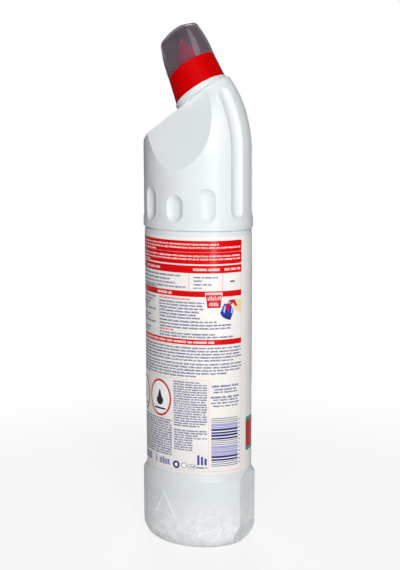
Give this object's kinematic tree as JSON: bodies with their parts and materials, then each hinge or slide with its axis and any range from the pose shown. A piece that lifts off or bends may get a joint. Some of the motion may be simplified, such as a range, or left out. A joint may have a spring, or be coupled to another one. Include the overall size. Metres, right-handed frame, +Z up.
{
  "type": "bleach bottle",
  "caption": "White bleach bottle with a leaning spout, red dosing closure, smoky clear overcap and a wrapped printed label.",
  "frame": {"origin": "on the surface the bottle stands on, under the middle of its overall length and width", "axes": "+Z up; X along the long way of the oval section, with the neck leaning towards -X; the front of the print faces -Y"},
  "size_m": [0.071, 0.0597, 0.3184],
  "materials": {
    "bottle_white": "satin",
    "label_film": "satin",
    "closure_red": "satin",
    "overcap_smoke": "gloss"
  },
  "bodies": {
    "bottle_body": {"bottle": "bottle_white", "label": "label_film", "spout": "closure_red"},
    "overcap_body": {"overcap": "overcap_smoke"}
  },
  "joints": [
    {"name": "overcap_lift", "type": "slide", "parent": "bottle_body", "child": "overcap_body", "axis": [-0.4147, 0, 0.91], "range_m": [0, 0.04]}
  ]
}
